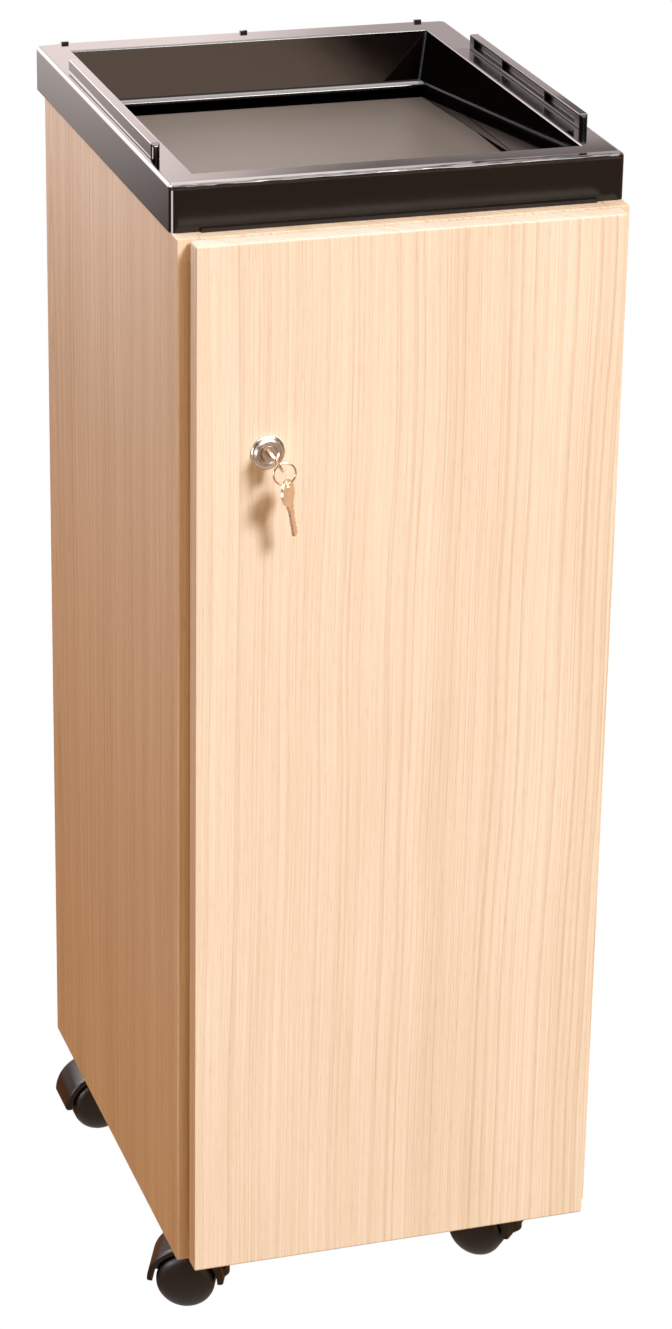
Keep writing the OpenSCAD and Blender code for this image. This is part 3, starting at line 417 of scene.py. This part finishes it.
def softened(node, radius=0.0, segments=3, shortest=0.0, special=None):
    """A copy of a CAD piece with its sharp edges rounded. It is shown in the piece's place.

    The radius and the shortest length that is rounded are in millimetres. special gives the radius of each
    sharp edge from the edge's two ends instead.
    """
    mesh = frame["nodes"][node].data.copy()
    if "custom_normal" in mesh.attributes:
        mesh.attributes.remove(mesh.attributes["custom_normal"])
    work = bmesh.new()
    work.from_mesh(mesh)
    bmesh.ops.remove_doubles(work, verts=work.verts, dist=SAME_POINT)
    bmesh.ops.dissolve_limit(work, angle_limit=FLAT, verts=work.verts, edges=work.edges)
    weight = work.edges.layers.float.new("bevel_weight_edge")
    widths = {}
    for edge in work.edges:
        sharp = len(edge.link_faces) == 2 and edge.calc_face_angle(0.0) > SHARP
        width = radius if edge.calc_length() >= shortest * MM else 0.0
        if sharp and special:
            width = special(*[vert.co for vert in edge.verts])
        widths[edge] = width if sharp else 0.0
        edge.smooth = not sharp or width > 0.0
    widest = max(widths.values())
    for edge, width in widths.items():
        edge[weight] = width / widest
    for face in work.faces:
        face.smooth = True
    work.to_mesh(mesh)
    work.free()
    piece = bpy.data.objects.new(node + "_look", mesh)
    bpy.context.scene.collection.objects.link(piece)
    bevel = piece.modifiers.new("Soft edges", "BEVEL")
    bevel.width = widest * MM
    bevel.segments = segments
    bevel.limit_method = "WEIGHT"
    bevel.use_clamp_overlap = False
    bevel.harden_normals = True
    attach(piece, BODIES[node])
    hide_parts(node)


OUTER_REACH, SHORT_EDGE, HAIR = 4 * MM, 8 * MM, 0.05 * MM
NIB_X, NIB_REACH = 155 * MM, 3.5 * MM
PEG_REACH, PEG_CHORD = 4.5 * MM, 3 * MM


def tray_edge(a, b):
    """The tray's roundings: the rim's outer edge, the recess's upper edge, and the recess's leaning corners.

    All other edges stay sharp, and so do those at the nibs and round the holes for the rails' pegs.
    """
    middle = (a + b) / 2
    to_outside = min(TRAY_SIDE - abs(middle.x), middle.y - TRAY_FRONT, TRAY_BACK - middle.y)
    outer = to_outside < OUTER_REACH
    at_rim = min(a.z, b.z) > RIM_Z - HAIR and max(a.z, b.z) < RIM_Z + HAIR
    beside_nib = min(abs(middle.x), abs(abs(middle.x) - NIB_X))
    at_nib = TRAY_BACK - middle.y < NIB_REACH and beside_nib < NIB_REACH
    at_peg = abs(abs(middle.x) - RAIL_X) < PEG_REACH and (a - b).length < PEG_CHORD and not outer
    if at_nib or at_peg or middle.y < TRAY_FRONT - 2 * HAIR:
        return 0.0
    if at_rim:
        return RIM_ROUND if outer else RECESS_ROUND
    leaning = abs(a.z - b.z) > SHORT_EDGE and not outer
    return RECESS_ROUND if leaning and max(a.z, b.z) > RIM_Z - HAIR else 0.0


softened("tray_cap", segments=4, special=tray_edge)
for node, radius, shortest in [
    ("door", 2.2, 9.0),
    ("left_side_panel", 0.8, 9.0),
    ("right_side_panel", 0.8, 9.0),
    ("top_rail", 0.8, 9.0),
    ("bottom_panel", 0.5, 9.0),
    ("tray_floor", 0.4, 3.0),
    ("left_rail", 0.8, 0.0),
    ("right_rail", 0.8, 0.0),
    ("lock_body", 0.25, 0.0),
    ("lock_plug", 0.2, 0.0),
    ("key", 0.25, 0.0),
    ("spare_key", 0.25, 0.0),
    ("collection_bin", 0.6, 0.0),
]:
    softened(node, radius, shortest=shortest)

for castor in ["castor_front_left", "castor_back_left", "castor_front_right", "castor_back_right"]:
    for piece, radius in [("_hood", 0.6), ("_wheel_a", 0.4), ("_wheel_b", 0.4)]:
        softened(castor + piece, radius, segments=2)


# ---- Light ----


def area_light(name, place, target, size, watts, colour=(1.0, 1.0, 1.0)):
    """A rectangular lamp that faces its target."""
    light = bpy.data.lights.new(name, "AREA")
    light.shape = "RECTANGLE"
    light.size, light.size_y = size
    light.energy = watts
    light.color = colour
    lamp = bpy.data.objects.new(name, light)
    bpy.context.scene.collection.objects.link(lamp)
    lamp.location = place
    lamp.rotation_mode = "QUATERNION"
    lamp.rotation_quaternion = (Vector(target) - Vector(place)).to_track_quat("-Z", "Y")


AIM = Vector((0.0, 0.0, 0.55))
KEY_DIRECTION, KEY_DISTANCE = Vector((0.333, -0.718, 0.61)), 9.0
area_light("Key light", AIM + KEY_DIRECTION * KEY_DISTANCE, AIM, size=(2.2, 2.2), watts=770.0)
area_light("Left light", (-0.62, 0.10, 1.55), (-0.18, 0.10, 0.95), size=(0.3, 1.2), watts=6.4,
           colour=(0.54, 0.73, 1.0))


def card(name, corner, wide, high, look):
    """A glowing sheet that only reflections show. look makes its colour and strength from the position."""
    corner, wide, high = Vector(corner), Vector(wide), Vector(high)
    work = bmesh.new()
    points = [corner, corner + wide, corner + wide + high, corner + high]
    work.faces.new([work.verts.new(point) for point in points])
    mesh = bpy.data.meshes.new(name)
    work.to_mesh(mesh)
    work.free()
    sheet = bpy.data.objects.new(name, mesh)
    bpy.context.scene.collection.objects.link(sheet)
    made = bpy.data.materials.new(name)
    made.use_nodes = True
    made.node_tree.nodes.clear()
    g = Graph(made.node_tree)
    colour, strength = look(g, g.split(g.place()))
    glow = g.add("Emission", {"Color": colour, "Strength": strength})
    output = made.node_tree.nodes.new("ShaderNodeOutputMaterial")
    g.put(output.inputs["Surface"], glow)
    mesh.materials.append(made)
    sheet.visible_camera = sheet.visible_diffuse = sheet.visible_transmission = False
    sheet.visible_shadow = sheet.visible_volume_scatter = False


def back_look(g, at):
    """Brightest at the left, and fading to the upper right and below."""
    across = g.remap(at[X], -0.70, -0.10, 12.0, 2.95, smooth=True)
    slant = g.math("MULTIPLY_ADD", at[Z], 0.5, at[X])
    upper_right = g.remap(slant, 0.90, 1.17, 1.0, 0.48, smooth=True)
    top = g.times(g.remap(at[Z], 1.438, 1.456), g.remap(at[X], 0.33, 0.50))
    low = g.math("POWER", g.remap(at[Z], 0.2, 1.2), 2.5)
    fade = g.times(upper_right, g.remap(top, 0.0, 1.0, 1.0, 0.35))
    return rgb(1.0, 0.86, 0.83), g.times(across, fade, low)


def left_look(g, at):
    """Bright in its upper half."""
    return rgb(1.0, 0.95, 0.92), g.remap(at[Z], 0.38, 0.50, 0.3, 14.0, smooth=True)


card("Back card", corner=(-1.7, 1.4, 0.2), wide=(2.8, 0.0, 0.0), high=(0.0, 0.0, 1.9), look=back_look)
card("Left card", corner=(-1.5, -0.95, 0.0), wide=(0.0, 0.75, 0.0), high=(0.0, 0.0, 0.85), look=left_look)


def make_world():
    """White for the camera, warm and dim for diffuse light, and a studio's light and dark for mirrors."""
    world = bpy.data.worlds.new("Studio")
    bpy.context.scene.world = world
    world.use_nodes = True
    tree = world.node_tree
    tree.nodes.clear()
    g = Graph(tree)
    path = g.add("LightPath").node.outputs
    # The world's Generated coordinates are the direction that a ray takes.
    toward = g.split(g.add("TexCoord", out="Generated"))
    behind = g.remap(toward[Y], -0.2, 0.4, smooth=True)
    # In front it is dark at the left and lit in the middle, up to a sharp slanting edge.
    slant = g.math("MULTIPLY_ADD", toward[Z], 1.05, toward[X])
    lit = g.times(g.remap(toward[X], -0.15, 0.10, smooth=True), g.fade(slant, 0.5985, 0.6065))
    front = g.mix(lit, rgb(0.02, 0.01, 0.01), rgb(2.3, 1.65, 1.3))
    upper = g.mix(behind, front, rgb(0.8, 0.70, 0.66))
    # Downward it is brown, and pale straight below.
    lower = g.mix(behind, rgb(0.45, 0.30, 0.22), rgb(0.34, 0.12, 0.03))
    lower = g.mix(g.fade(toward[Z], -0.82, -0.66), lower, rgb(0.9, 0.8, 0.75))
    mirrored = g.mix(g.remap(toward[Z], -0.06, 0.03, smooth=True), lower, upper)
    # Overhead is a bright ceiling.
    mirrored = g.mix(g.remap(toward[Z], 0.62, 0.88, smooth=True), mirrored, rgb(8.5, 8.0, 7.8))
    to_right = g.remap(toward[X], -0.7, 0.1, smooth=True)
    fill = g.mix(to_right, rgb(0.485, 0.26, 0.095), rgb(0.44, 0.33, 0.215))
    colour = g.mix(path["Is Glossy Ray"], fill, mirrored)
    colour = g.mix(path["Is Camera Ray"], colour, rgb(1.0, 1.0, 1.0))
    output = tree.nodes.new("ShaderNodeOutputWorld")
    g.put(output.inputs["Surface"], g.add("Background", {"Color": colour, "Strength": 1.0}))


make_world()


# ---- Camera ----

# The photograph's camera, solved from the straight edges of the cabinet and the tray.
EYE = Vector((-912.3, -2869.1, 1802.7)) * MM
YAW, PITCH, ROLL = 0.31159, -0.40621, 0.01747
FOCAL_PIXELS, PICTURE_HEIGHT, SENSOR = 3915.02, 1329.0, 36.0

forward = Vector((math.sin(YAW) * math.cos(PITCH), math.cos(YAW) * math.cos(PITCH), math.sin(PITCH)))
level = Vector((math.cos(YAW), -math.sin(YAW), 0.0))
over = level.cross(forward)
right = level * math.cos(ROLL) + over * math.sin(ROLL)
up = over * math.cos(ROLL) - level * math.sin(ROLL)

lens = bpy.data.cameras.new("Camera")
camera = bpy.data.objects.new("Camera", lens)
bpy.context.scene.collection.objects.link(camera)
bpy.context.scene.camera = camera
turn = Matrix((right, up, -forward)).transposed().to_4x4()
camera.matrix_world = Matrix.Translation(EYE) @ turn
lens.sensor_fit = "AUTO"
lens.sensor_width = SENSOR
lens.lens = SENSOR * FOCAL_PIXELS / PICTURE_HEIGHT
lens.clip_start, lens.clip_end = 0.05, 50.0
bpy.context.scene.view_settings.view_transform = "Standard"
